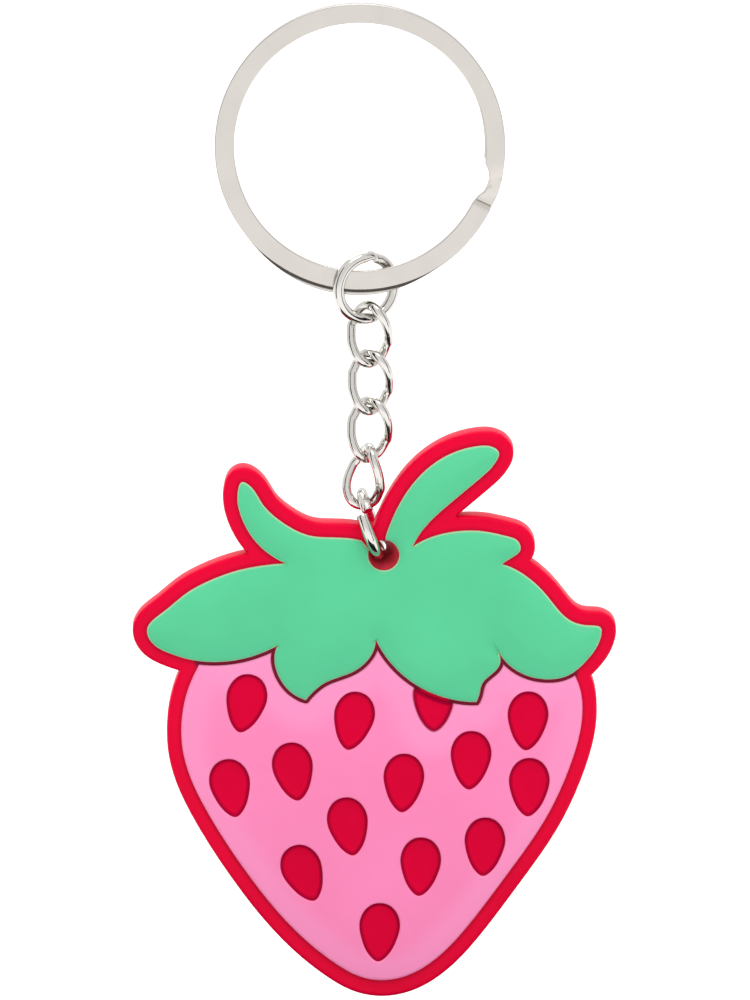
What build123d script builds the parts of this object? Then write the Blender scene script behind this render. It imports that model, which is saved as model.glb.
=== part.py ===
from build123d import *
from math import cos, pi, radians, sin
import os

os.makedirs("parts", exist_ok=True)

# Strawberry charm on a short curb chain, hung from a flat split ring.
# Millimetres. The origin is the split ring's centre, +Z is up, the charm's face looks to -Y.

# Flat split ring: one strip wound twice
RING_OUTER_R = 15.0
STRIP_WIDTH = 2.0
STRIP_T = 0.57
STRIP_GAP = 0.06
BACK_DROP = 0.7
BACK_GROWTH = 0.15
FRONT_START, FRONT_TURN = -11.0, 346.0
BACK_START, BACK_TURN = -7.0, 341.0
NECK_NARROW = (13.95, 14.9)
NECK_TURNS = (2.0, 8.0, 13.0)
NECK_FLARE_IN = 0.4
NECK_FLARE_OUT = 0.3

# Jump rings: round wire, cut once, ends a little out of line
JUMP_WIRE_R = 0.6
JUMP_R = 3.265
JUMP_CUT = 5.0
JUMP_STEPS = 24
UPPER_CENTRE = (0.66, 0.0, -14.86)
UPPER_TURN = 27.0
UPPER_CUT_AT = 74.0
UPPER_PITCH = 0.5
LOWER_CENTRE = (1.05, 0.0, -39.7)
LOWER_LEAN = 19.0
LOWER_CUT_AT = 32.0
LOWER_PITCH = -0.7

# Curb chain: twisted oval links of round wire
LINK_WIRE_R = 0.51
LINK_HALF_WIDTH = 1.92
LINK_HALF_LENGTH = 3.065
LINK_TWIST = 42.0
LINK_SQUARE = 0.15
LINK_STEPS = 16
TANGENT_STEP = 0.001
CHAIN = (
    # x, z, turn about the vertical, lean in the plane of the face
    (1.0, -19.77, 5.0, -1.5),
    (1.1, -24.79, 0.0, 0.0),
    (1.02, -29.8, 0.0, 3.0),
    (0.5, -34.7, 37.0, 9.0),
)

# Soft moulded charm
HOLE_X, HOLE_Z = 2.45, -42.7
HOLE_R = 1.53
BASE_T = 3.2
INLAY_T = 0.7
INLAY_HOLE_R = 1.6
BORDER = 1.5
BORDER_DROP = 0.3
EYE_WALL = 1.75
GROOVE = 0.35
SEED_T = 0.25
SEED_GAP = 0.05
SEED_SCALE = 0.975
REDRAW_STEP = 1.0

charm_plane = Plane(origin=(HOLE_X, 0, HOLE_Z), x_dir=(1, 0, 0), z_dir=(0, -1, 0))
inlay_plane = charm_plane.offset(BASE_T / 2)

# The calyx's edge, one run from each notch or sharp tip to the next; x, z from the hole
NOTCH_A, NOTCH_B, NOTCH_C = (-10.2, -0.85), (-11.0, -9.55), (-0.8, -8.95)
NOTCH_D, NOTCH_E, NOTCH_F = (11.9, -10.2), (12.3, -0.95), (3.0, 0.9)
TIP_C, TIP_D = (-8.05, -15.3), (9.6, -15.5)
HOLE_LEFT, HOLE_RIGHT = (-2.3, 1.55), (0.2, 2.0)
HOLE_CHORD = ((0.15, 1.2), (-1.3, 0.35))
LEAVES = (
    (
        HOLE_LEFT, (-4.6, 1.85), (-7.6, 2.05), (-10.4, 3.4), (-12.6, 5.5), (-13.95, 7.4),
        (-14.6, 7.7), (-15.1, 6.6), (-15.0, 4.9), (-13.4, 1.6), NOTCH_A,
    ),
    (
        NOTCH_A, (-12.9, -1.15), (-15.25, -1.65), (-17.95, -2.65), (-20.4, -4.0), (-22.7, -5.9),
        (-24.5, -8.0), (-24.1, -9.1), (-22.3, -10.3), (-19.9, -11.05), (-15.7, -11.15), NOTCH_B,
    ),
    (
        NOTCH_B, (-11.3, -10.5), (-10.9, -12.75), (-9.8, -14.3), TIP_C,
    ),
    (
        TIP_C, (-7.1, -14.25), (-6.1, -13.5), (-3.15, -12.3), (-1.5, -10.9), NOTCH_C,
    ),
    (
        NOTCH_C, (0.9, -11.6), (3.75, -13.95), (6.9, -15.2), TIP_D,
    ),
    (
        TIP_D, (9.95, -14.55), (10.2, -13.6), (11.5, -12.3), NOTCH_D,
    ),
    (
        NOTCH_D, (13.2, -11.8), (15.05, -12.8), (16.8, -13.1), (18.85, -12.8), (21.2, -10.9),
        (22.4, -8.9), (22.45, -7.65), (21.15, -7.4), (19.1, -6.75), (16.8, -4.15), (14.6, -2.1), NOTCH_E,
    ),
    (
        NOTCH_E, (13.3, -0.25), (14.15, 0.6), (13.95, 1.4), (12.75, 2.0), (10.0, 2.55),
        (7.1, 2.45), (4.9, 1.9), NOTCH_F,
    ),
    (
        NOTCH_F, (4.45, 3.15), (6.7, 5.3), (10.1, 8.2), (11.65, 9.9), (11.9, 10.85), (11.35, 11.35),
        (9.8, 11.5), (7.3, 10.85), (4.5, 9.1), (2.35, 6.6), (0.95, 4.0), HOLE_RIGHT,
    ),
)

# The flesh's free edge, from inside the left leaf round to inside the right leaf
FLESH_EDGE = (
    (-18.4, -10.0), (-19.25, -11.8), (-20.1, -13.7), (-20.8, -16.4), (-20.8, -20.65),
    (-18.3, -27.05), (-14.35, -33.3), (-9.7, -39.1), (-5.15, -43.05), (-2.1, -44.65), (0.3, -44.9),
    (2.75, -44.3), (5.4, -42.65), (8.85, -39.0), (12.9, -33.55), (16.8, -27.75), (19.35, -22.1),
    (20.55, -17.0), (20.3, -14.0), (19.6, -12.3), (18.8, -10.8),
)
FLESH_TOP = ((12.0, -7.5), (0.0, -6.0), (-11.0, -7.2))

SEEDS = (
    # x, z, lean in degrees
    (-14.3, -15.55, -11.5), (-3.15, -17.4, -11.0), (5.2, -15.4, 0.0), (14.9, -17.4, -3.5),
    (-9.35, -22.75, 9.5), (9.0, -21.55, -3.5), (-15.85, -24.5, 10.3), (2.05, -23.95, -3.5),
    (15.05, -24.4, -2.4), (-3.65, -28.55, 10.0), (10.45, -30.7, -3.5), (3.8, -32.8, -3.3),
    (-8.3, -33.5, 22.0), (-0.45, -39.75, -3.0),
)
SEED_HALF = ((0.0, 3.1), (1.37, 2.55), (2.1, 0.9), (1.8, -0.8), (0.82, -2.6), (0.0, -3.1))


def strip_turn(drop, growth, start, turn):
    """One flat turn of the split ring's strip."""
    outer = RING_OUTER_R + growth
    inner = outer - STRIP_WIDTH
    with BuildSketch(mode=Mode.PRIVATE) as face:
        with BuildLine():
            rim = CenterArc((0, -drop), outer, start, turn)
            bore = CenterArc((0, -drop), inner, start, turn)
            Line(rim @ 0, bore @ 0)
            Line(rim @ 1, bore @ 1)
        make_face()
    return face.sketch


def strip_section(angle, r_in, r_out, y_front, drop=0.0):
    """The strip's rectangular section at an angle round the ring."""
    mid = (r_in + r_out) / 2
    c, s = cos(radians(angle)), sin(radians(angle))
    plane = Plane(
        origin=(mid * c, y_front + STRIP_T / 2, mid * s - drop),
        x_dir=(c, 0, s),
        z_dir=(-s, 0, c),
    )
    with BuildSketch(plane, mode=Mode.PRIVATE) as face:
        Rectangle(r_out - r_in, STRIP_T)
    return face.sketch


def wire_ring(centre, right, up, cut_at, pitch):
    """The centre line of a jump ring: one open turn with its ends out of line by `pitch`."""
    normal = right.cross(up)
    turn = 360.0 - JUMP_CUT
    points = []
    for i in range(JUMP_STEPS + 1):
        along = i / JUMP_STEPS
        angle = radians(cut_at + JUMP_CUT / 2 + turn * along)
        flat = right * (JUMP_R * cos(angle)) + up * (JUMP_R * sin(angle))
        points.append(Vector(*centre) + flat + normal * (pitch * (0.5 - along)))
    return points


def link_point(along, x, z, turn, lean):
    """A point on a twisted oval link's centre line, `along` from 0 to 1 round it."""
    angle = 2 * pi * along
    across = LINK_HALF_WIDTH * cos(angle) * (1 + LINK_SQUARE * sin(angle) ** 2)
    high = LINK_HALF_LENGTH * sin(angle)
    twist = radians(turn + LINK_TWIST * sin(angle))
    flat_x, flat_y = across * cos(twist), -across * sin(twist)
    tip = radians(lean)
    return Vector(
        x + flat_x * cos(tip) + high * sin(tip),
        flat_y,
        z - flat_x * sin(tip) + high * cos(tip),
    )


def link_side(start, place):
    """Half of a link's centre line, smooth where it meets the other half."""
    points = [link_point(start + i / LINK_STEPS, *place) for i in range(LINK_STEPS // 2 + 1)]
    first = link_point(start + TANGENT_STEP, *place) - points[0]
    last = link_point(start + 0.5 + TANGENT_STEP, *place) - points[-1]
    with BuildLine(mode=Mode.PRIVATE) as side:
        Spline(*points, tangents=(first, last))
    return side.line


def calyx_sketch(grown=0.0):
    """The calyx's face, with its edge moved out by `grown`."""
    with BuildSketch(mode=Mode.PRIVATE) as face:
        with BuildLine():
            for leaf in LEAVES:
                Spline(*leaf)
            Polyline(HOLE_RIGHT, *HOLE_CHORD, HOLE_LEFT)
        make_face()
        if grown:
            offset(amount=grown, kind=Kind.ARC)
    return face.sketch


def flesh_sketch():
    """The flesh's face as if it ran on under the calyx."""
    with BuildSketch(mode=Mode.PRIVATE) as face:
        with BuildLine():
            Spline(*FLESH_EDGE)
            Polyline(FLESH_EDGE[-1], *FLESH_TOP, FLESH_EDGE[0])
        make_face()
    return face.sketch


def redrawn(sketch):
    """The same outlines with every offset curve redrawn as a spline."""
    drawn = []
    for face in sketch.faces():
        wires = []
        for wire in (face.outer_wire(), *face.inner_wires()):
            edges = []
            for edge in wire.order_edges():
                if edge.geom_type in (GeomType.LINE, GeomType.CIRCLE):
                    edges.append(edge)
                    continue
                steps = max(4, round(edge.length / REDRAW_STEP))
                points = [edge @ (i / steps) for i in range(steps + 1)]
                edges.append(Edge.make_spline(points, tangents=(edge % 0, edge % 1)))
            wires.append(Wire(edges))
        drawn.append(Face(wires[0], wires[1:]))
    return Sketch(drawn)


def seed_sketch(u, v, lean, scale, edge):
    """A seed's teardrop, broad end up, cut short where it meets `edge`."""
    tip = radians(lean)
    c, s = scale * cos(tip), scale * sin(tip)
    left = [(-x, z) for x, z in reversed(SEED_HALF[1:-1])]
    ring = [(x * c - z * s + u, x * s + z * c + v) for x, z in [*SEED_HALF, *left]]
    with BuildSketch(mode=Mode.PRIVATE) as face:
        with BuildLine():
            Spline(*ring, periodic=True)
        make_face()
        add(edge, mode=Mode.SUBTRACT)
    return face.sketch


calyx_face = calyx_sketch()
calyx_clear = redrawn(calyx_sketch(GROOVE))
calyx_clearer = redrawn(calyx_sketch(GROOVE + SEED_GAP))
flesh_face = flesh_sketch()
wells = [seed_sketch(*seed, 1.0, calyx_clear) for seed in SEEDS]
fills = [seed_sketch(*seed, SEED_SCALE, calyx_clearer) for seed in SEEDS]
with BuildSketch(mode=Mode.PRIVATE) as border:
    add(calyx_face)
    add(flesh_face)
    Circle(EYE_WALL)
    offset(amount=BORDER, kind=Kind.ARC)
with BuildSketch(mode=Mode.PRIVATE) as flesh_border:
    add(flesh_face)
    offset(amount=BORDER, kind=Kind.ARC)
base_face = redrawn(border.sketch)
lower_face = redrawn(flesh_border.sketch)

# The charm's base: a slab that borders calyx and flesh, wider below the flesh, with the hole
with BuildPart() as charm_base:
    with BuildSketch(charm_plane.offset(-BASE_T / 2)):
        add(base_face)
        with Locations((0, -BORDER_DROP)):
            add(lower_face)
        Circle(HOLE_R, mode=Mode.SUBTRACT)
    extrude(amount=BASE_T)
charm_base.part.label = "charm_base"
export_step(charm_base.part, "parts/charm_base.step")

# The green calyx, raised on the base and cut back round the hole
with BuildPart() as calyx_inlay:
    with BuildSketch(inlay_plane):
        add(calyx_face)
        Circle(INLAY_HOLE_R, mode=Mode.SUBTRACT)
    extrude(amount=INLAY_T)
calyx_inlay.part.label = "calyx_inlay"
export_step(calyx_inlay.part, "parts/calyx_inlay.step")

# The pink flesh, with a groove along the calyx and a well for each seed
with BuildPart() as flesh_inlay:
    with BuildSketch(inlay_plane):
        add(flesh_face)
        add(calyx_clear, mode=Mode.SUBTRACT)
        add(wells, mode=Mode.SUBTRACT)
    extrude(amount=INLAY_T)
flesh_inlay.part.label = "flesh_inlay"
export_step(flesh_inlay.part, "parts/flesh_inlay.step")

# The seeds: thin red fills in the bottom of the wells
for n, fill in enumerate(fills, start=1):
    with BuildPart() as seed:
        with BuildSketch(inlay_plane):
            add(fill)
        extrude(amount=SEED_T)
    seed.part.label = f"seed_{n:02d}"
    export_step(seed.part, f"parts/seed_{n:02d}.step")

front_y = -STRIP_GAP / 2 - STRIP_T
back_y = STRIP_GAP / 2
back_out = RING_OUTER_R + BACK_GROWTH
neck_in, neck_out = NECK_NARROW
front_turn = strip_turn(0.0, 0.0, FRONT_START, FRONT_TURN)
back_turn = strip_turn(BACK_DROP, BACK_GROWTH, BACK_START, BACK_TURN)
neck_sections = [
    strip_section(FRONT_START, RING_OUTER_R - STRIP_WIDTH, RING_OUTER_R, front_y),
    strip_section(FRONT_START - NECK_TURNS[0], neck_in - NECK_FLARE_IN, neck_out, front_y),
    strip_section(FRONT_START - NECK_TURNS[1], neck_in, neck_out, (front_y + back_y) / 2),
    strip_section(FRONT_START - NECK_TURNS[2], neck_in, neck_out + NECK_FLARE_OUT, back_y),
    strip_section(BACK_START + BACK_TURN - 360, back_out - STRIP_WIDTH, back_out, back_y, BACK_DROP),
]

# The split ring: front turn, back turn, and the narrowed neck that joins them
with BuildPart() as split_ring:
    with BuildSketch(Plane.XZ.offset(STRIP_GAP / 2)):
        add(front_turn)
    extrude(amount=STRIP_T)
    with BuildSketch(Plane.XZ.offset(-STRIP_GAP / 2 - STRIP_T)):
        add(back_turn)
    extrude(amount=STRIP_T)
    loft(neck_sections, ruled=True)
split_ring.part.label = "split_ring"
export_step(split_ring.part, "parts/split_ring.step")

upright = Vector(0, 0, 1)
turned = Vector(cos(radians(UPPER_TURN)), sin(radians(UPPER_TURN)), 0)
forward = Vector(0, -1, 0)
leaning = Vector(-sin(radians(LOWER_LEAN)), 0, cos(radians(LOWER_LEAN)))

# The jump ring through the split ring, its left side in front of the strip
with BuildPart() as upper_jump_ring:
    with BuildLine() as upper_line:
        Spline(*wire_ring(UPPER_CENTRE, turned, upright, UPPER_CUT_AT, UPPER_PITCH))
    with BuildSketch(Plane(origin=upper_line.line @ 0, z_dir=upper_line.line % 0)):
        Circle(JUMP_WIRE_R)
    sweep()
upper_jump_ring.part.label = "upper_jump_ring"
export_step(upper_jump_ring.part, "parts/upper_jump_ring.step")

# The jump ring through the charm's hole, seen on edge and leaning to the left
with BuildPart() as lower_jump_ring:
    with BuildLine() as lower_line:
        Spline(*wire_ring(LOWER_CENTRE, forward, leaning, LOWER_CUT_AT, LOWER_PITCH))
    with BuildSketch(Plane(origin=lower_line.line @ 0, z_dir=lower_line.line % 0)):
        Circle(JUMP_WIRE_R)
    sweep()
lower_jump_ring.part.label = "lower_jump_ring"
export_step(lower_jump_ring.part, "parts/lower_jump_ring.step")


link_sides = [(link_side(0.0, place), link_side(0.5, place)) for place in CHAIN]

# The four chain links, top to bottom
for n, sides in enumerate(link_sides, start=1):
    with BuildPart() as chain_link:
        for side in sides:
            with BuildSketch(Plane(origin=side @ 0, z_dir=side % 0)):
                Circle(LINK_WIRE_R)
            sweep(path=side)
    chain_link.part.label = f"chain_link_{n}"
    export_step(chain_link.part, f"parts/chain_link_{n}.step")
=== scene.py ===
import math
import bmesh
import bpy
import numpy as np
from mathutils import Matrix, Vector
from mathutils.geometry import delaunay_2d_cdt


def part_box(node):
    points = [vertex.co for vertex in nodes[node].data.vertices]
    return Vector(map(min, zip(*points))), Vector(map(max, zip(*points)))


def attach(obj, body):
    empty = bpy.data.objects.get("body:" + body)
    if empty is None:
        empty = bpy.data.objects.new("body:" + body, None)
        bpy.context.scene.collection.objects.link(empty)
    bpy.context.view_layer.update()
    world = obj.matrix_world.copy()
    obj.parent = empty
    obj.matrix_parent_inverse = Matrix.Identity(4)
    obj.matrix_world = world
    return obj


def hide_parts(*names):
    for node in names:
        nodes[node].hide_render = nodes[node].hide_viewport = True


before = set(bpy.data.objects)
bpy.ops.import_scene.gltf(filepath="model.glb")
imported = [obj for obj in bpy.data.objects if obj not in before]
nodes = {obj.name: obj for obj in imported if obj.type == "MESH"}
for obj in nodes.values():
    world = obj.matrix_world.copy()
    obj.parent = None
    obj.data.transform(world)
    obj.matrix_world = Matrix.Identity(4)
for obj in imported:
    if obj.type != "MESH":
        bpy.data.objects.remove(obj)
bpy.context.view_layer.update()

MM = 0.001
TINY = 1e-18  # stands in for zero in a divisor


# ---------------------------------------------------------------- outlines of the moulded pieces
WELD = 1e-6  # CAD points nearer than this are one point
STEP = 0.28 * MM  # longest side of an outline
CROWDED = 0.25 * STEP  # outline points nearer than this to the last one are dropped
CHUNK = 400  # points measured at a time, to save memory

GRID = 0.55 * MM  # spacing of the points in the middle of a moulding
ROW = 0.866 * GRID
GRID_CLEAR = 0.4 * GRID  # gap between the innermost ring of points and the grid
RING_KEEP = 0.93  # a ring's point stays if no outline is nearer than this share of its inset
EXTRA_CLEAR = 0.05 * MM  # extra points nearer than this to an outline are dropped
ALL_TRIANGLES = 0  # what the triangulation gives back: all of them, holes included
CDT_EPSILON = 1e-9
NO_HOLE = 1.0  # a distance that counts as nowhere near a hole
MOULDED_SHARP = math.radians(50)  # edges turning more than this are shaded sharp


def outlines(node):
    """The closed outlines of a node's flat front face, largest first, as arrays of (x, z)."""
    mesh = nodes[node].data
    co = np.array([v.co[:] for v in mesh.vertices])
    front = co[:, 1].min()
    ids, points, edges = {}, [], set()
    for poly in mesh.polygons:
        if max(abs(co[v][1] - front) for v in poly.vertices) > WELD:
            continue
        ring = []
        for v in poly.vertices:
            key = (round(co[v][0] / WELD), round(co[v][2] / WELD))
            if key not in ids:
                ids[key] = len(points)
                points.append((co[v][0], co[v][2]))
            ring.append(ids[key])
        edges.update(zip(ring, ring[1:] + ring[:1]))
    onward = {a: b for a, b in edges if (b, a) not in edges and a != b}
    loops = []
    while onward:
        start, here = onward.popitem()
        loop = [start]
        while here != start:
            loop.append(here)
            here = onward.pop(here)
        loops.append(np.array([points[i] for i in loop]))
    return sorted(loops, key=lambda loop: -abs(area(loop)))


def area(loop):
    """A loop's area, positive when it runs anticlockwise."""
    x, z = loop[:, 0], loop[:, 1]
    return 0.5 * float(np.sum(x * np.roll(z, -1) - np.roll(x, -1) * z))


def even(loop):
    """The loop with points added on its long sides, and crowded ones dropped."""
    out = []
    for a, b in zip(loop, np.roll(loop, -1, axis=0)):
        n = max(1, math.ceil(np.linalg.norm(b - a) / STEP))
        out.extend(a + (b - a) * i / n for i in range(n))
    kept = [out[0]]
    for p in out[1:]:
        if np.linalg.norm(p - kept[-1]) > CROWDED:
            kept.append(p)
    return np.array(kept)


def inward(loop):
    """The unit direction from each point of a loop to the loop's inside."""
    side = np.roll(loop, -1, axis=0) - np.roll(loop, 1, axis=0)
    side /= np.maximum(np.linalg.norm(side, axis=1), TINY)[:, None]
    return np.stack([-side[:, 1], side[:, 0]], 1) * np.sign(area(loop))


def beside(loop, d):
    """Points at distance d outside a loop."""
    return loop - inward(loop) * d


def apart(points, loop):
    """Each point's distance from a loop's sides."""
    a = loop
    d = np.roll(loop, -1, axis=0) - a
    dd = np.maximum((d * d).sum(1), TINY)
    best = np.empty(len(points))
    for s in range(0, len(points), CHUNK):
        p = points[s:s + CHUNK, None, :]
        t = np.clip(((p - a) * d).sum(2) / dd, 0, 1)
        gap = p - (a + t[..., None] * d)
        best[s:s + CHUNK] = np.sqrt((gap * gap).sum(2).min(1))
    return best


def nearest(points, loops):
    """Each point's distance from the nearest of several loops."""
    return np.min([apart(points, loop) for loop in loops], axis=0)


def within(points, loops):
    """Whether each point is inside the first loop and outside the rest."""
    odd = np.zeros(len(points), bool)
    for loop in loops:
        x1, z1 = loop[:, 0], loop[:, 1]
        x2, z2 = np.roll(x1, -1), np.roll(z1, -1)
        rise = np.where(z2 == z1, TINY, z2 - z1)
        for s in range(0, len(points), CHUNK):
            x, z = points[s:s + CHUNK, 0, None], points[s:s + CHUNK, 1, None]
            spans = (z1 > z) != (z2 > z)
            hits = spans & (x < (x2 - x1) * (z - z1) / rise + x1)
            odd[s:s + CHUNK] ^= hits.sum(1) % 2 == 1
    return odd


def filling(loops, insets, extra):
    """The points inside these loops: rings beside them, then the extra ones, then a grid."""
    inner = []
    for n, loop in enumerate(loops):
        to_material = inward(loop) * (1 if n == 0 else -1)
        for d in insets:
            ring = loop + to_material * d
            ring = ring[within(ring, loops)]
            if len(ring):
                ring = ring[nearest(ring, loops) > RING_KEEP * d]
            inner.append(ring)
    low, high = loops[0].min(0), loops[0].max(0)
    cols = np.arange(low[0], high[0], GRID)
    rows = np.arange(low[1], high[1], ROW)
    grid = np.array([
        (x + (GRID / 2 if j % 2 else 0), z) for j, z in enumerate(rows) for x in cols
    ])
    grid = grid[within(grid, loops)]
    grid = grid[nearest(grid, loops) > max(insets) + GRID_CLEAR]
    if extra is not None:
        more = extra[within(extra, loops)]
        inner.append(more[nearest(more, loops) > EXTRA_CLEAR])
    return np.vstack(inner + [grid])


def triangles(loops, points):
    """The flat points and faces that fill the space between these loops, faces anticlockwise."""
    edges, start = [], 0
    for loop in loops:
        n = len(loop)
        edges += [(start + i, start + (i + 1) % n) for i in range(n)]
        start += n
    flat, _, faces, *_ = delaunay_2d_cdt(
        [Vector(p) for p in np.vstack(loops + [points])], edges, [], ALL_TRIANGLES, CDT_EPSILON
    )
    flat = np.array([p[:] for p in flat])
    faces = np.array(faces)
    faces = faces[within(flat[faces].mean(1), loops)]
    a, b, c = flat[faces[:, 0]], flat[faces[:, 1]], flat[faces[:, 2]]
    turn = (b[:, 0] - a[:, 0]) * (c[:, 1] - a[:, 1]) - (b[:, 1] - a[:, 1]) * (c[:, 0] - a[:, 0])
    faces[turn < 0] = faces[turn < 0][:, ::-1]
    return flat, faces


def face_outwards(mesh):
    clean = bmesh.new()
    clean.from_mesh(mesh)
    bmesh.ops.recalc_face_normals(clean, faces=clean.faces)
    clean.to_mesh(mesh)
    clean.free()


def placed(name, data):
    """A new object in the scene."""
    piece = bpy.data.objects.new(name, data)
    bpy.context.scene.collection.objects.link(piece)
    return piece


def tag(mesh, label, values):
    """Stores one number per vertex for a material to read."""
    stored = mesh.attributes.new(label, "FLOAT", "POINT")
    stored.data.foreach_set("value", np.asarray(values, float))


def moulding(name, loops, front, back, insets, extra=None):
    """A closed plate with these outlines, and the index of the first face of its side walls.

    front and back give the y of each point from its distances to the outer loop and to the holes.
    """
    loops = [even(loop) for loop in loops]
    flat, faces = triangles(loops, filling(loops, insets, extra))
    outer = apart(flat, loops[0])
    holes = nearest(flat, loops[1:]) if len(loops) > 1 else np.full(len(flat), NO_HOLE)
    co = np.vstack([
        np.stack([flat[:, 0], front(outer, holes), flat[:, 1]], 1),
        np.stack([flat[:, 0], back(outer, holes), flat[:, 1]], 1),
    ])
    count = len(flat)
    directed = set()
    for f in faces:
        directed.update(((f[0], f[1]), (f[1], f[2]), (f[2], f[0])))
    rim = sorted((int(i), int(j)) for i, j in directed if (j, i) not in directed)
    polys = [tuple(int(v) for v in f) for f in faces]
    polys += [tuple(int(v) + count for v in f[::-1]) for f in faces]
    polys += [(i, i + count, j + count, j) for i, j in rim]
    mesh = bpy.data.meshes.new(name)
    mesh.from_pydata([tuple(p) for p in co], [], polys)
    mesh.update()
    face_outwards(mesh)
    tag(mesh, "from_edge", np.tile(outer, 2) / MM)
    tag(mesh, "from_hole", np.tile(holes, 2) / MM)
    mesh.shade_smooth()
    mesh.set_sharp_from_angle(angle=MOULDED_SHARP)
    return placed(name, mesh), 2 * len(faces)


def plan(piece):
    """The (x, z) of each vertex."""
    co = np.empty(3 * len(piece.data.vertices))
    piece.data.vertices.foreach_get("co", co)
    return co.reshape(-1, 3)[:, (0, 2)]


def rounded(d, r):
    """How far a quarter-round edge of radius r falls away at distance d from the outline."""
    t = np.clip(1 - d / r, 0, 1)
    return r * (1 - np.sqrt(1 - t * t))


def crown(d, width, fall):
    """How far a broad soft margin falls away at distance d from the outline."""
    t = np.clip(1 - d / width, 0, 1)
    return fall * t * t


# ---------------------------------------------------------------- shader nodes
def material(name):
    made = bpy.data.materials.new(name)
    made.use_nodes = True
    tree = made.node_tree
    tree.nodes.clear()
    out = tree.nodes.new("ShaderNodeOutputMaterial")
    shader = tree.nodes.new("ShaderNodeBsdfPrincipled")
    tree.links.new(shader.outputs[0], out.inputs[0])
    return made, tree, shader


def feed(tree, value, socket):
    """Links a node's output to the socket, or sets a number or colour on it."""
    if isinstance(value, bpy.types.NodeSocket):
        tree.links.new(value, socket)
    elif isinstance(value, tuple):
        socket.default_value = (*value, 1.0)
    else:
        socket.default_value = value


def place_on_piece(tree):
    return tree.nodes.new("ShaderNodeTexCoord").outputs["Object"]


def noise(tree, scale, detail=3.0):
    tex = tree.nodes.new("ShaderNodeTexNoise")
    tex.inputs["Scale"].default_value = scale
    tex.inputs["Detail"].default_value = detail
    tree.links.new(place_on_piece(tree), tex.inputs["Vector"])
    return tex.outputs["Fac"]


def ramp(tree, value, *stops):
    node = tree.nodes.new("ShaderNodeValToRGB")
    band = node.color_ramp
    while len(band.elements) < len(stops):
        band.elements.new(0.5)
    for element, (at, colour) in zip(band.elements, stops):
        element.position = at
        element.color = (*colour, 1.0)
    tree.links.new(value, node.inputs[0])
    return node.outputs[0]


def mix(tree, factor, a, b):
    node = tree.nodes.new("ShaderNodeMix")
    node.data_type = "RGBA"
    for value, socket in ((factor, "Factor"), (a, "A"), (b, "B")):
        feed(tree, value, node.inputs[socket])
    return node.outputs["Result"]


def maths(tree, operation, a, b=0.0):
    node = tree.nodes.new("ShaderNodeMath")
    node.operation = operation
    feed(tree, a, node.inputs[0])
    feed(tree, b, node.inputs[1])
    return node.outputs[0]


def remap(tree, value, start, end, at_start=0.0, at_end=1.0):
    """at_start where the value is at start, at_end where it is at end, and steady beyond both."""
    node = tree.nodes.new("ShaderNodeMapRange")
    node.inputs["From Min"].default_value = start
    node.inputs["From Max"].default_value = end
    node.inputs["To Min"].default_value = at_start
    node.inputs["To Max"].default_value = at_end
    tree.links.new(value, node.inputs["Value"])
    return node.outputs["Result"]


def near(tree, label, start, end):
    """1 where the distance stored under this label is start (mm) or less, 0 by end."""
    attribute = tree.nodes.new("ShaderNodeAttribute")
    attribute.attribute_name = label
    return remap(tree, attribute.outputs["Fac"], start, end, 1.0, 0.0)


def grain(tree, shader, scale, detail, strength, depth):
    """A fine bump over the whole surface."""
    bump = tree.nodes.new("ShaderNodeBump")
    bump.inputs["Strength"].default_value = strength
    bump.inputs["Distance"].default_value = depth
    tree.links.new(noise(tree, scale, detail), bump.inputs["Height"])
    tree.links.new(bump.outputs["Normal"], shader.inputs["Normal"])


def scaled(colour, k):
    return tuple(min(1.0, c * k) for c in colour)


# ---------------------------------------------------------------- soft PVC
TINT_SCALE, TINT_VARY = 90.0, 0.04
DUST_SCALE, DUST_SIZE, DUST_STRENGTH, DUST_SHADE = 420.0, 0.035, 0.5, 0.7
GLOSS_SCALE, GLOSS_LESS, GLOSS_MORE = 260.0, 0.05, 0.07
PVC_GRAIN = (1400.0, 4.0, 0.12, 0.04 * MM)  # scale, detail, strength, depth
GLOW_THROUGH = 0.08
GLOW_RADIUS = (0.6, 0.3, 0.3)
GLOW_DEPTH = 0.6 * MM


def soft_pvc(name, colour, rough=0.36, specular=0.03, shades=()):
    """Moulded PVC. A shade is a tag, the distances (mm) where it is full and gone, and a colour."""
    made, tree, shader = material(name)
    tint = ramp(
        tree, noise(tree, TINT_SCALE),
        (0.3, scaled(colour, 1 - TINT_VARY)), (0.7, scaled(colour, 1 + TINT_VARY)),
    )
    for label, start, end, shade in shades:
        tint = mix(tree, near(tree, label, start, end), tint, shade)
    dust = tree.nodes.new("ShaderNodeTexVoronoi")
    dust.inputs["Scale"].default_value = DUST_SCALE
    tree.links.new(place_on_piece(tree), dust.inputs["Vector"])
    specks = ramp(
        tree, dust.outputs["Distance"], (0.0, (DUST_STRENGTH,) * 3), (DUST_SIZE, (0.0,) * 3)
    )
    tint = mix(tree, specks, tint, scaled(colour, DUST_SHADE))
    tree.links.new(tint, shader.inputs["Base Color"])
    gloss = remap(
        tree, noise(tree, GLOSS_SCALE), 0.0, 1.0, rough - GLOSS_LESS, rough + GLOSS_MORE
    )
    tree.links.new(gloss, shader.inputs["Roughness"])
    shader.inputs["Specular IOR Level"].default_value = specular
    shader.inputs["Subsurface Weight"].default_value = GLOW_THROUGH
    shader.inputs["Subsurface Radius"].default_value = GLOW_RADIUS
    shader.inputs["Subsurface Scale"].default_value = GLOW_DEPTH
    grain(tree, shader, *PVC_GRAIN)
    return made


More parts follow.
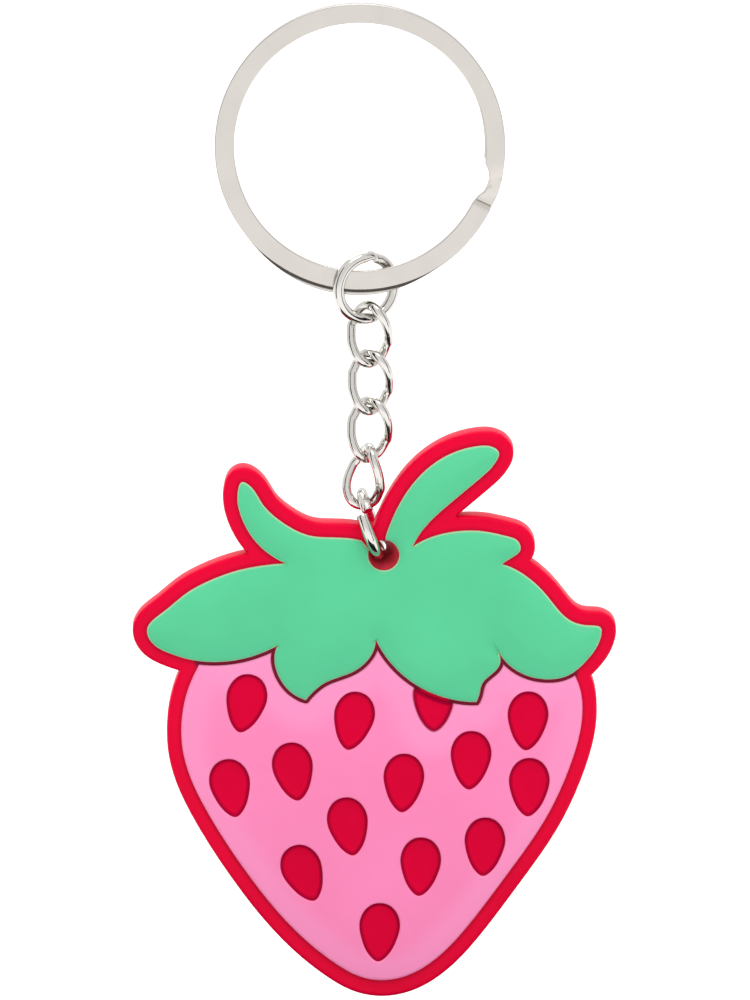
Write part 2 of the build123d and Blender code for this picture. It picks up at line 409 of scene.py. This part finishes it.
RED = (0.775, 0.000, 0.036)
# Painted shade: the slab's red darkens near the raised inlays, where they shade it
PAINTED_SHADE_NEAR_INLAYS = (0.560, 0.000, 0.028)
# Painted shade: the dark red deep in the narrow groove between the leaves and the flesh
PAINTED_GROOVE_SHADE = (0.195, 0.008, 0.030)
# Painted light: the seed wells' walls, a lighter red that lifts the shadow inside the narrow wells
WELL_WALL_PAINTED_LIGHT = (0.800, 0.000, 0.060)
# Painted shade: each seed darkens round its edge, where its well's wall shades it
SEED_RIM_PAINTED_SHADE = (0.370, 0.000, 0.030)
# Painted light: the bore's wall, a paler red that lifts the shadow inside the bore
BORE_RED_PAINTED_LIGHT = (0.700, 0.045, 0.075)
GREEN = (0.112, 0.613, 0.318)
# A paler green along the leaves' outline
PALE_GREEN_EDGE = (0.420, 0.760, 0.440)
PINK = (1.0, 0.262, 0.507)
# Painted highlight: the flesh is lighter over its bevelled margin, where the margin catches the
# light
PINK_MARGIN_PAINTED_HIGHLIGHT = (1.0, 0.305, 0.560)
SEED_RED = (0.700, 0.000, 0.037)

# The slab's red, with painted shade near the inlays and darker painted shade in the groove between
# them
red = soft_pvc(
    "red_soft_pvc_look", RED, specular=0.05,
    shades=(("from_inlay", 0.0, 0.5, PAINTED_SHADE_NEAR_INLAYS), ("across_groove", 0.55, 0.95, PAINTED_GROOVE_SHADE)),
)
# The bore's wall, lightened with painted light
lightened_bore_wall = soft_pvc("bore_wall_painted_light_look", BORE_RED_PAINTED_LIGHT, rough=0.45)
# The seed wells' walls, lightened with painted light
lightened_well_wall = soft_pvc("well_wall_painted_light_look", WELL_WALL_PAINTED_LIGHT, rough=0.42)
green = soft_pvc("green_soft_pvc_look", GREEN, shades=(("from_edge", 0.064, 0.16, PALE_GREEN_EDGE),))
# The flesh, with a painted highlight over its margin
pink = soft_pvc("pink_soft_pvc_look", PINK, shades=(("from_edge", 1.6, 3.4, PINK_MARGIN_PAINTED_HIGHLIGHT),))
# The seeds, with painted shade round their edges
seed_red = soft_pvc(
    "seed_red_soft_pvc_look", SEED_RED, rough=0.42,
    shades=(("from_edge", 0.184, 0.46, SEED_RIM_PAINTED_SHADE),),
)


# ---------------------------------------------------------------- plated metal
MOTTLE_SCALE, MOTTLE_DETAIL, MOTTLE = 320.0, 5.0, 0.02
WEAR_SCALE, WEAR_DETAIL, WEAR_LOW, WEAR_HIGH = 700.0, 4.0, 0.7, 1.5
METAL_GRAIN = (900.0, 3.0, 0.10, 0.03 * MM)  # scale, detail, strength, depth

# Painted shade: a dark line on the strip where the split ring's two turns meet, standing in for the
# shadow in the gap between them, along the ring's lower arc only; all in mm
SEAM = (15.02, 15.32)  # distances from the ring's axis
SEAM_SOFT = 0.12  # how wide the line's edges fade
SEAM_TOP, SEAM_FULL = -9.5, -11.5  # heights where the line starts, and where it is full
SEAM_PAINTED_SHADE = (0.060, 0.052, 0.047)


def turn_seam_shade(tree):
    """1 on the line of painted shade where the split ring's turns meet, 0 elsewhere."""
    flat = tree.nodes.new("ShaderNodeVectorMath")
    flat.operation = "MULTIPLY"
    flat.inputs[1].default_value = (1 / MM, 0.0, 1 / MM)
    far = tree.nodes.new("ShaderNodeVectorMath")
    far.operation = "LENGTH"
    tree.links.new(place_on_piece(tree), flat.inputs[0])
    tree.links.new(flat.outputs[0], far.inputs[0])
    off = maths(tree, "SUBTRACT", far.outputs["Value"], sum(SEAM) / 2)
    half = (SEAM[1] - SEAM[0]) / 2
    line = remap(tree, maths(tree, "ABSOLUTE", off), half + SEAM_SOFT, half)
    parts = tree.nodes.new("ShaderNodeSeparateXYZ")
    tree.links.new(flat.outputs[0], parts.inputs[0])
    return maths(tree, "MULTIPLY", line, remap(tree, parts.outputs["Z"], SEAM_TOP, SEAM_FULL))


def plated(name, colour, rough, with_seam_shade=False):
    made, tree, shader = material(name)
    tint = ramp(
        tree, noise(tree, MOTTLE_SCALE, MOTTLE_DETAIL),
        (0.35, scaled(colour, 1 - MOTTLE)), (0.65, scaled(colour, 1 + MOTTLE)),
    )
    if with_seam_shade:
        # Painted shade along the seam between the turns
        tint = mix(tree, turn_seam_shade(tree), tint, SEAM_PAINTED_SHADE)
    tree.links.new(tint, shader.inputs["Base Color"])
    shader.inputs["Metallic"].default_value = 1.0
    wear = remap(
        tree, noise(tree, WEAR_SCALE, WEAR_DETAIL), 0.0, 1.0, rough * WEAR_LOW, rough * WEAR_HIGH
    )
    tree.links.new(wear, shader.inputs["Roughness"])
    grain(tree, shader, *METAL_GRAIN)
    return made


STRIP_METAL = (0.536, 0.505, 0.472)
WIRE_METAL = (0.620, 0.600, 0.570)

strip = plated("bright_plated_strip_look", STRIP_METAL, rough=0.16, with_seam_shade=True)
wire = plated("bright_plated_wire_look", WIRE_METAL, rough=0.09)


# ---------------------------------------------------------------- the charm
BASE_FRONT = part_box("charm_base")[0].y
BASE_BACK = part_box("charm_base")[1].y
INLAY_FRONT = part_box("calyx_inlay")[0].y
SEED_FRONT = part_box("seed_01")[0].y
SEED_COUNT = 14

# Radii of the rounded edges
EDGE_R = 0.45 * MM
INLAY_R = 0.30 * MM
HOLE_EDGE_R = 0.22 * MM
WELL_EDGE_R = 0.16 * MM

# Soft margins: width, fall
CALYX_CROWN = (3.0 * MM, 0.40 * MM)
FLESH_CROWN = (3.6 * MM, 0.32 * MM)
SEED_DISH = (0.45 * MM, 0.16 * MM)

# Where the mouldings have rings of points, as distances from their outlines
EDGE_INSETS = [k * MM for k in (0.04, 0.1, 0.18, 0.28, 0.45, 0.75, 1.2)]
SEED_INSETS = [k * MM for k in (0.05, 0.12, 0.22, 0.34, 0.48)]
AROUND_INLAYS = [k * MM for k in (0.08, 0.17, 0.45, 0.8)]

SEED_REACH = 0.06 * MM  # how far a seed's fill goes under the edge of its well
FAR = 9.0  # mm; a tag that no shade reaches
ON_RIM = 0.001  # mm; a vertex this near a hole is on its outline

# The bore's wall closes in towards the back, round the wire that goes through it
BORE_SPREAD = 1.1 * MM  # how far from the bore the back still moves with it
BORE_EXIT_R = 0.70 * MM
BORE_EXIT_SHIFT = np.array([-0.47, 0.31]) * MM


def base_front(outer, holes):
    return BASE_FRONT + rounded(outer, EDGE_R) + rounded(holes, HOLE_EDGE_R)


def base_back(outer, holes):
    return BASE_BACK - rounded(outer, EDGE_R) - rounded(holes, HOLE_EDGE_R)


def flat_back(outer, holes):
    return np.full(len(outer), BASE_FRONT)


def calyx_front(outer, holes):
    edges = rounded(outer, INLAY_R) + rounded(holes, HOLE_EDGE_R)
    return INLAY_FRONT + edges + crown(outer, *CALYX_CROWN)


def flesh_front(outer, holes):
    edges = rounded(outer, INLAY_R) + rounded(holes, WELL_EDGE_R)
    return INLAY_FRONT + edges + crown(outer, *FLESH_CROWN)


def seed_front(outer, holes):
    """A shallow dish, so its margin comes forward instead of falling away."""
    return SEED_FRONT - crown(outer, *SEED_DISH)


def line_holes(piece, walls_from):
    """Gives the walls of a moulding's holes its second material."""
    from_hole = piece.data.attributes["from_hole"].data
    for poly in piece.data.polygons[walls_from:]:
        if min(from_hole[v].value for v in poly.vertices) < ON_RIM:
            poly.material_index = 1


green_loop = even(outlines("calyx_inlay")[0])
pink_loop = even(outlines("flesh_inlay")[0])
around = np.vstack([beside(loop, d) for loop in (green_loop, pink_loop) for d in AROUND_INLAYS])
base, base_walls = moulding(
    "charm_slab", outlines("charm_base"), base_front, base_back, EDGE_INSETS, around
)
base.data.materials.append(red)
base.data.materials.append(lightened_bore_wall)
at = plan(base)
from_green, from_pink = apart(at, green_loop) / MM, apart(at, pink_loop) / MM
inside = within(at, [green_loop]) | within(at, [pink_loop])
rear = np.array([v.co.y > 0 for v in base.data.vertices])
gap = np.where(inside, 0.0, np.minimum(from_green, from_pink))
# Distances for the painted shade near the inlays; the back gets none
tag(base.data, "from_inlay", np.where(rear, FAR, gap))
# Distances for the painted shade in the groove; the back gets none
tag(base.data, "across_groove", np.where(rear, FAR, from_green + from_pink))
bore_loop = outlines("charm_base")[1]
bore_mid = (bore_loop.min(0) + bore_loop.max(0)) / 2
bore_r = float(np.linalg.norm(bore_loop[0] - bore_mid))
for v in base.data.vertices:
    reach = np.array([v.co.x, v.co.z]) - bore_mid
    away = float(np.linalg.norm(reach))
    if v.co.y < 0 or away > bore_r + BORE_SPREAD or away < TINY:
        continue
    pull = 1 - max(0.0, away - bore_r) / BORE_SPREAD
    goal = bore_mid + BORE_EXIT_SHIFT + reach / away * BORE_EXIT_R
    v.co.x += (goal[0] - v.co.x) * pull * pull
    v.co.z += (goal[1] - v.co.z) * pull * pull
line_holes(base, base_walls)
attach(base, "charm")
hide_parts("charm_base")

calyx, _ = moulding(
    "calyx_leaves", outlines("calyx_inlay"), calyx_front, flat_back, EDGE_INSETS
)
calyx.data.materials.append(green)
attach(calyx, "charm")
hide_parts("calyx_inlay")

flesh, flesh_walls = moulding(
    "strawberry_flesh", outlines("flesh_inlay"), flesh_front, flat_back, EDGE_INSETS
)
flesh.data.materials.append(pink)
flesh.data.materials.append(lightened_well_wall)
line_holes(flesh, flesh_walls)
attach(flesh, "charm")
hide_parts("flesh_inlay")

for n in range(1, SEED_COUNT + 1):
    node = f"seed_{n:02d}"
    grown = beside(outlines(node)[0], SEED_REACH)
    seed, _ = moulding(f"{node}_fill", [grown], seed_front, flat_back, SEED_INSETS)
    seed.data.materials.append(seed_red)
    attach(seed, "charm")
    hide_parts(node)


# ---------------------------------------------------------------- the metal
METAL_SHARP = math.radians(48)


def swept(name, rings, look, body, node):
    """A closed tube through these rings of points, each end closed by a fan of triangles."""
    count = len(rings[0])
    verts = [tuple(p) for ring in rings for p in ring]
    polys = []
    for i in range(len(rings) - 1):
        a, b = i * count, (i + 1) * count
        for k in range(count):
            onward = (k + 1) % count
            polys.append((a + k, a + onward, b + onward, b + k))
    for first, ring, flip in ((0, rings[0], True), ((len(rings) - 1) * count, rings[-1], False)):
        tip = len(verts)
        verts.append(tuple(np.mean(ring, axis=0)))
        for k in range(count):
            tri = (first + k, first + (k + 1) % count, tip)
            polys.append(tri[::-1] if flip else tri)
    mesh = bpy.data.meshes.new(name)
    mesh.from_pydata(verts, [], polys)
    face_outwards(mesh)
    mesh.materials.append(look)
    mesh.shade_smooth()
    mesh.set_sharp_from_angle(angle=METAL_SHARP)
    piece = placed(name, mesh)
    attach(piece, body)
    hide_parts(node)


STRIP_T = 0.57  # the strip's thickness
TURN_Y = 0.315  # how far each turn's middle is from the plane between them
STRIP_CORNER = 0.10  # radius of the strip's corners
# The points of a corner: thirds of its quarter turn, and how far past its end a point lies. The
# outermost two, just outside the corner, keep the flat faces evenly shaded.
CORNER_POINTS = ((0, -0.04), (0, 0), (1, 0), (2, 0), (3, 0), (3, 0.04))
END_SHRINK = 0.08  # how much smaller the strip is at its two free ends
TURN_STEP, NECK_STEP = 1.5, 0.4  # degrees between sections
NECK_FROM, NECK_TO = -5.0, -32.0  # where the closer sections start and end

# The split ring's strip, in mm and degrees: angle, inner radius, outer radius, mid depth, drop,
# roll. It winds from the front turn's free end, through the narrowed neck, to the back turn's
# free end.
WINDING = (
    (335.0, 13.0, 15.0, -TURN_Y, 0.0, 0.0),
    (-7.0, 13.03, 15.0, -TURN_Y, 0.0, 0.0),
    (-11.0, 13.50, 15.02, -0.27, 0.02, 4.0),
    (-15.0, 13.72, 15.06, -0.04, 0.05, 24.0),
    (-19.0, 13.68, 15.04, 0.22, 0.10, 16.0),
    (-23.0, 13.25, 15.0, TURN_Y, 0.08, 0.0),
    (-28.0, 13.0, 14.98, TURN_Y, 0.04, 0.0),
    (-56.0, 13.0, 15.0, TURN_Y, 0.12, 0.0),
    (-88.0, 13.05, 15.05, TURN_Y, 0.62, 0.0),
    (-106.0, 13.05, 15.05, TURN_Y, 0.60, 0.0),
    (-144.0, 13.0, 15.0, TURN_Y, 0.12, 0.0),
    (-170.0, 13.0, 14.95, TURN_Y, 0.0, 0.0),
    (-325.0, 13.0, 14.95, TURN_Y, 0.0, 0.0),
    (-366.0, 12.86, 14.80, TURN_Y, 0.0, 0.0),
)


def slope(i, column):
    """The slope of a column of the table at row i, level where it turns back."""
    if i in (0, len(WINDING) - 1):
        return 0.0
    before, here, after = WINDING[i - 1:i + 2]
    left = (here[column] - before[column]) / (here[0] - before[0])
    right = (after[column] - here[column]) / (after[0] - here[0])
    return 2 * left * right / (left + right) if left * right > 0 else 0.0


def winding(angle):
    """Radii, depth, drop and roll at an angle, on smooth curves through the table's rows."""
    i = max(k for k in range(len(WINDING) - 1) if WINDING[k][0] >= angle)
    a, b = WINDING[i], WINDING[i + 1]
    span = b[0] - a[0]
    t = (angle - a[0]) / span
    return [
        a[k] * (1 + 2 * t) * (1 - t) ** 2 + b[k] * t * t * (3 - 2 * t)
        + span * (slope(i, k) * t * (1 - t) ** 2 - slope(i + 1, k) * t * t * (1 - t))
        for k in range(1, len(a))
    ]


def strip_section(angle, shrink=0.0):
    """The strip's section at an angle: a rectangle with rounded corners."""
    r_in, r_out, depth, drop, roll = winding(angle)
    half_w, half_t = (r_out - r_in) / 2 - shrink, STRIP_T / 2 - shrink
    mid, corner = (r_in + r_out) / 2, STRIP_CORNER
    c, z = math.cos(math.radians(angle)), math.sin(math.radians(angle))
    tilt = math.radians(roll)
    ring = []
    for quarter, (sx, sy) in enumerate(((1, 1), (-1, 1), (-1, -1), (1, -1))):
        for third, past in CORNER_POINTS:
            turn = math.radians(90 * quarter + 30 * third)
            across = sx * (half_w - corner) + corner * math.cos(turn) - past * math.sin(turn)
            deep = sy * (half_t - corner) + corner * math.sin(turn) + past * math.cos(turn)
            far = mid + across * math.cos(tilt) - deep * math.sin(tilt)
            y = depth + across * math.sin(tilt) + deep * math.cos(tilt)
            ring.append((far * c * MM, y * MM, (far * z - drop) * MM))
    return ring


FRONT_END, BACK_END = WINDING[0][0], WINDING[-1][0]
angles = [
    *np.arange(FRONT_END, NECK_FROM, -TURN_STEP),
    *np.arange(NECK_FROM, NECK_TO, -NECK_STEP),
    *np.arange(NECK_TO, BACK_END, -TURN_STEP),
    BACK_END,
]
sections = [strip_section(a, END_SHRINK if a in (FRONT_END, BACK_END) else 0.0) for a in angles]
swept("split_ring_strip", sections, strip, "split_ring", "split_ring")


# The jump rings, in mm
JUMP_R = 3.265
JUMP_WIRE_R = 0.6
JUMP_SECTIONS = 181
JUMP_SECTION_POINTS = 28
NIP_AT, NIP_WIDTH = 0.25, 0.45  # how far from an end the pliers bit, and over what length
END_ROUND, END_ROUND_WIDTH = 0.10, 0.05  # how much the wire thins at its very end


def jump_ring(name, node, centre, right, up, cut_at, cut, pitch, pinch):
    """One open turn of wire; near each end the wire is nipped by the pliers that closed it.

    right and up span the ring's plane. The cut is at cut_at and is cut wide, both in degrees.
    pitch is how far its ends are out of line. pinch gives, for each end, how much the nip flattens
    the wire towards the centre and across, and how far it moves it out.
    """
    centre, right, up = np.array(centre), np.array(right), np.array(up)
    normal = np.cross(right, up)
    turn = 360.0 - cut
    rings = []
    for along in np.linspace(0, 1, JUMP_SECTIONS):
        angle = math.radians(cut_at + cut / 2 + turn * along)
        out = right * math.cos(angle) + up * math.sin(angle)
        mid = centre + out * JUMP_R + normal * (pitch * (0.5 - along))
        reach = min(along, 1 - along) * math.radians(turn) * JUMP_R
        flat_in, flat_across, lift = pinch[0 if along < 0.5 else 1]
        nip = math.exp(-((reach - NIP_AT) / NIP_WIDTH) ** 2)
        ease = 1 - END_ROUND * math.exp(-((reach / END_ROUND_WIDTH) ** 2))
        deep = JUMP_WIRE_R * ease * (1 - flat_in * nip)
        wide = JUMP_WIRE_R * ease * (1 - flat_across * nip)
        rings.append([
            (mid + out * (deep * math.cos(t) + lift * nip) + normal * wide * math.sin(t)) * MM
            for t in np.linspace(0, 2 * math.pi, JUMP_SECTION_POINTS, endpoint=False)
        ])
    swept(name, rings, wire, node, node)


UPPER_CENTRE, UPPER_TURN = (0.66, 0.0, -14.86), math.radians(27.0)
LOWER_CENTRE, LOWER_LEAN = (1.05, 0.0, -39.7), math.radians(19.0)

jump_ring(
    "upper_jump_ring_wire", "upper_jump_ring", UPPER_CENTRE,
    right=(math.cos(UPPER_TURN), math.sin(UPPER_TURN), 0.0), up=(0.0, 0.0, 1.0),
    cut_at=74.0, cut=8.5, pitch=0.5, pinch=((0.16, 0.0, 0.10), (0.10, 0.16, -0.08)),
)
jump_ring(
    "lower_jump_ring_wire", "lower_jump_ring", LOWER_CENTRE,
    right=(0.0, -1.0, 0.0), up=(-math.sin(LOWER_LEAN), 0.0, math.cos(LOWER_LEAN)),
    cut_at=32.0, cut=5.0, pitch=-0.7, pinch=((0.06, 0.0, 0.0), (0.14, 0.0, 0.0)),
)
for node in ("chain_link_1", "chain_link_2", "chain_link_3", "chain_link_4"):
    for s in nodes[node].material_slots:
        s.material = wire


# ---------------------------------------------------------------- floor, light and camera
WHITE = (1.0, 1.0, 1.0)
FLOOR_SIZE, FLOOR_DROP = 40.0, 0.06
FLOOR_TONE, FLOOR_GLOW = 0.93, 0.32
FLAG_TONE = 0.01
CARD_SCALE, CARD_SHADE, CARD_ROUGH = 4.0, 0.99, 0.9
LOW_FLAG_DROP = 0.05
SIDE_FLAG_HEIGHT = 0.6
WORLD_STRENGTH = 1.05


def aimed(piece, place, direction, axis):
    """Puts a piece somewhere and turns this axis of it to the direction."""
    piece.location = place
    piece.rotation_mode = "QUATERNION"
    piece.rotation_quaternion = direction.to_track_quat(axis, "Y")


def card(name, centre, facing, width, height, tone=FLAG_TONE, shown=False, glow=0.0):
    """A flat stage card; one that isn't shown only darkens what reflects it."""
    half_w, half_h = width / 2, height / 2
    corners = [(x * half_w, y * half_h, 0) for x, y in ((-1, -1), (1, -1), (1, 1), (-1, 1))]
    mesh = bpy.data.meshes.new(name)
    mesh.from_pydata(corners, [], [(0, 1, 2, 3)])
    made, tree, shader = material(name + "_look")
    grey = (tone,) * 3
    tint = ramp(tree, noise(tree, CARD_SCALE), (0.3, scaled(grey, CARD_SHADE)), (0.7, grey))
    tree.links.new(tint, shader.inputs["Base Color"])
    shader.inputs["Roughness"].default_value = CARD_ROUGH
    shader.inputs["Specular IOR Level"].default_value = 0.0
    shader.inputs["Emission Color"].default_value = (*WHITE, 1.0)
    shader.inputs["Emission Strength"].default_value = glow
    mesh.materials.append(made)
    piece = placed(name, mesh)
    aimed(piece, centre, Vector(facing), "Z")
    piece.visible_camera = shown
    piece.visible_shadow = shown


def area_light(name, place, size, power):
    lamp = bpy.data.lights.new(name, "AREA")
    lamp.shape = "RECTANGLE"
    lamp.size, lamp.size_y = size
    lamp.energy = power
    aimed(placed(name, lamp), place, Vector(LIGHTS_AIM) - Vector(place), "-Z")


lowest = min(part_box(n)[0].z for n in nodes)
card(
    "floor", (0, 0, lowest - FLOOR_DROP), (0, 0, 1), FLOOR_SIZE, FLOOR_SIZE,
    tone=FLOOR_TONE, shown=True, glow=FLOOR_GLOW,
)
card("flag_left", (-0.20, -0.15, -0.03), (0.8, 0.6, 0), 0.09, SIDE_FLAG_HEIGHT)
card("flag_right", (0.22, -0.13, -0.03), (-0.8, 0.6, 0), 0.06, SIDE_FLAG_HEIGHT)
card("flag_below", (0, -0.02, lowest - LOW_FLAG_DROP), (0, 0, 1), 0.16, 0.12)

world = bpy.data.worlds.new("studio")
world.use_nodes = True
bpy.context.scene.world = world
sky = world.node_tree.nodes["Background"]
sky.inputs["Color"].default_value = (*WHITE, 1.0)
sky.inputs["Strength"].default_value = WORLD_STRENGTH

LIGHTS_AIM = (0.0015, 0.0, -0.037)
area_light("top_softbox", (0.05, -0.25, 0.55), size=(0.30, 0.22), power=1.0)
area_light("back_softbox", (-0.1, 0.35, 0.5), size=(0.4, 0.4), power=1.2)

PICTURE_HEIGHT = 0.103445  # metres from the picture's top to its bottom, at AIM
ELEVATION = math.radians(11.0)
AIM = Vector((0.00155, 0.0, -0.0372))
LENS = 1000.0
SENSOR = 36.0
CLIP = (0.01, 50.0)

shot = bpy.data.cameras.new("camera")
shot.lens = LENS
shot.sensor_width = SENSOR
shot.clip_start, shot.clip_end = CLIP
camera = placed("camera", shot)
back = Vector((0.0, -math.cos(ELEVATION), math.sin(ELEVATION)))
aimed(camera, AIM + back * (PICTURE_HEIGHT * LENS / SENSOR), -back, "-Z")
bpy.context.scene.camera = camera
bpy.context.scene.view_settings.view_transform = "Standard"

bpy.context.view_layer.update()
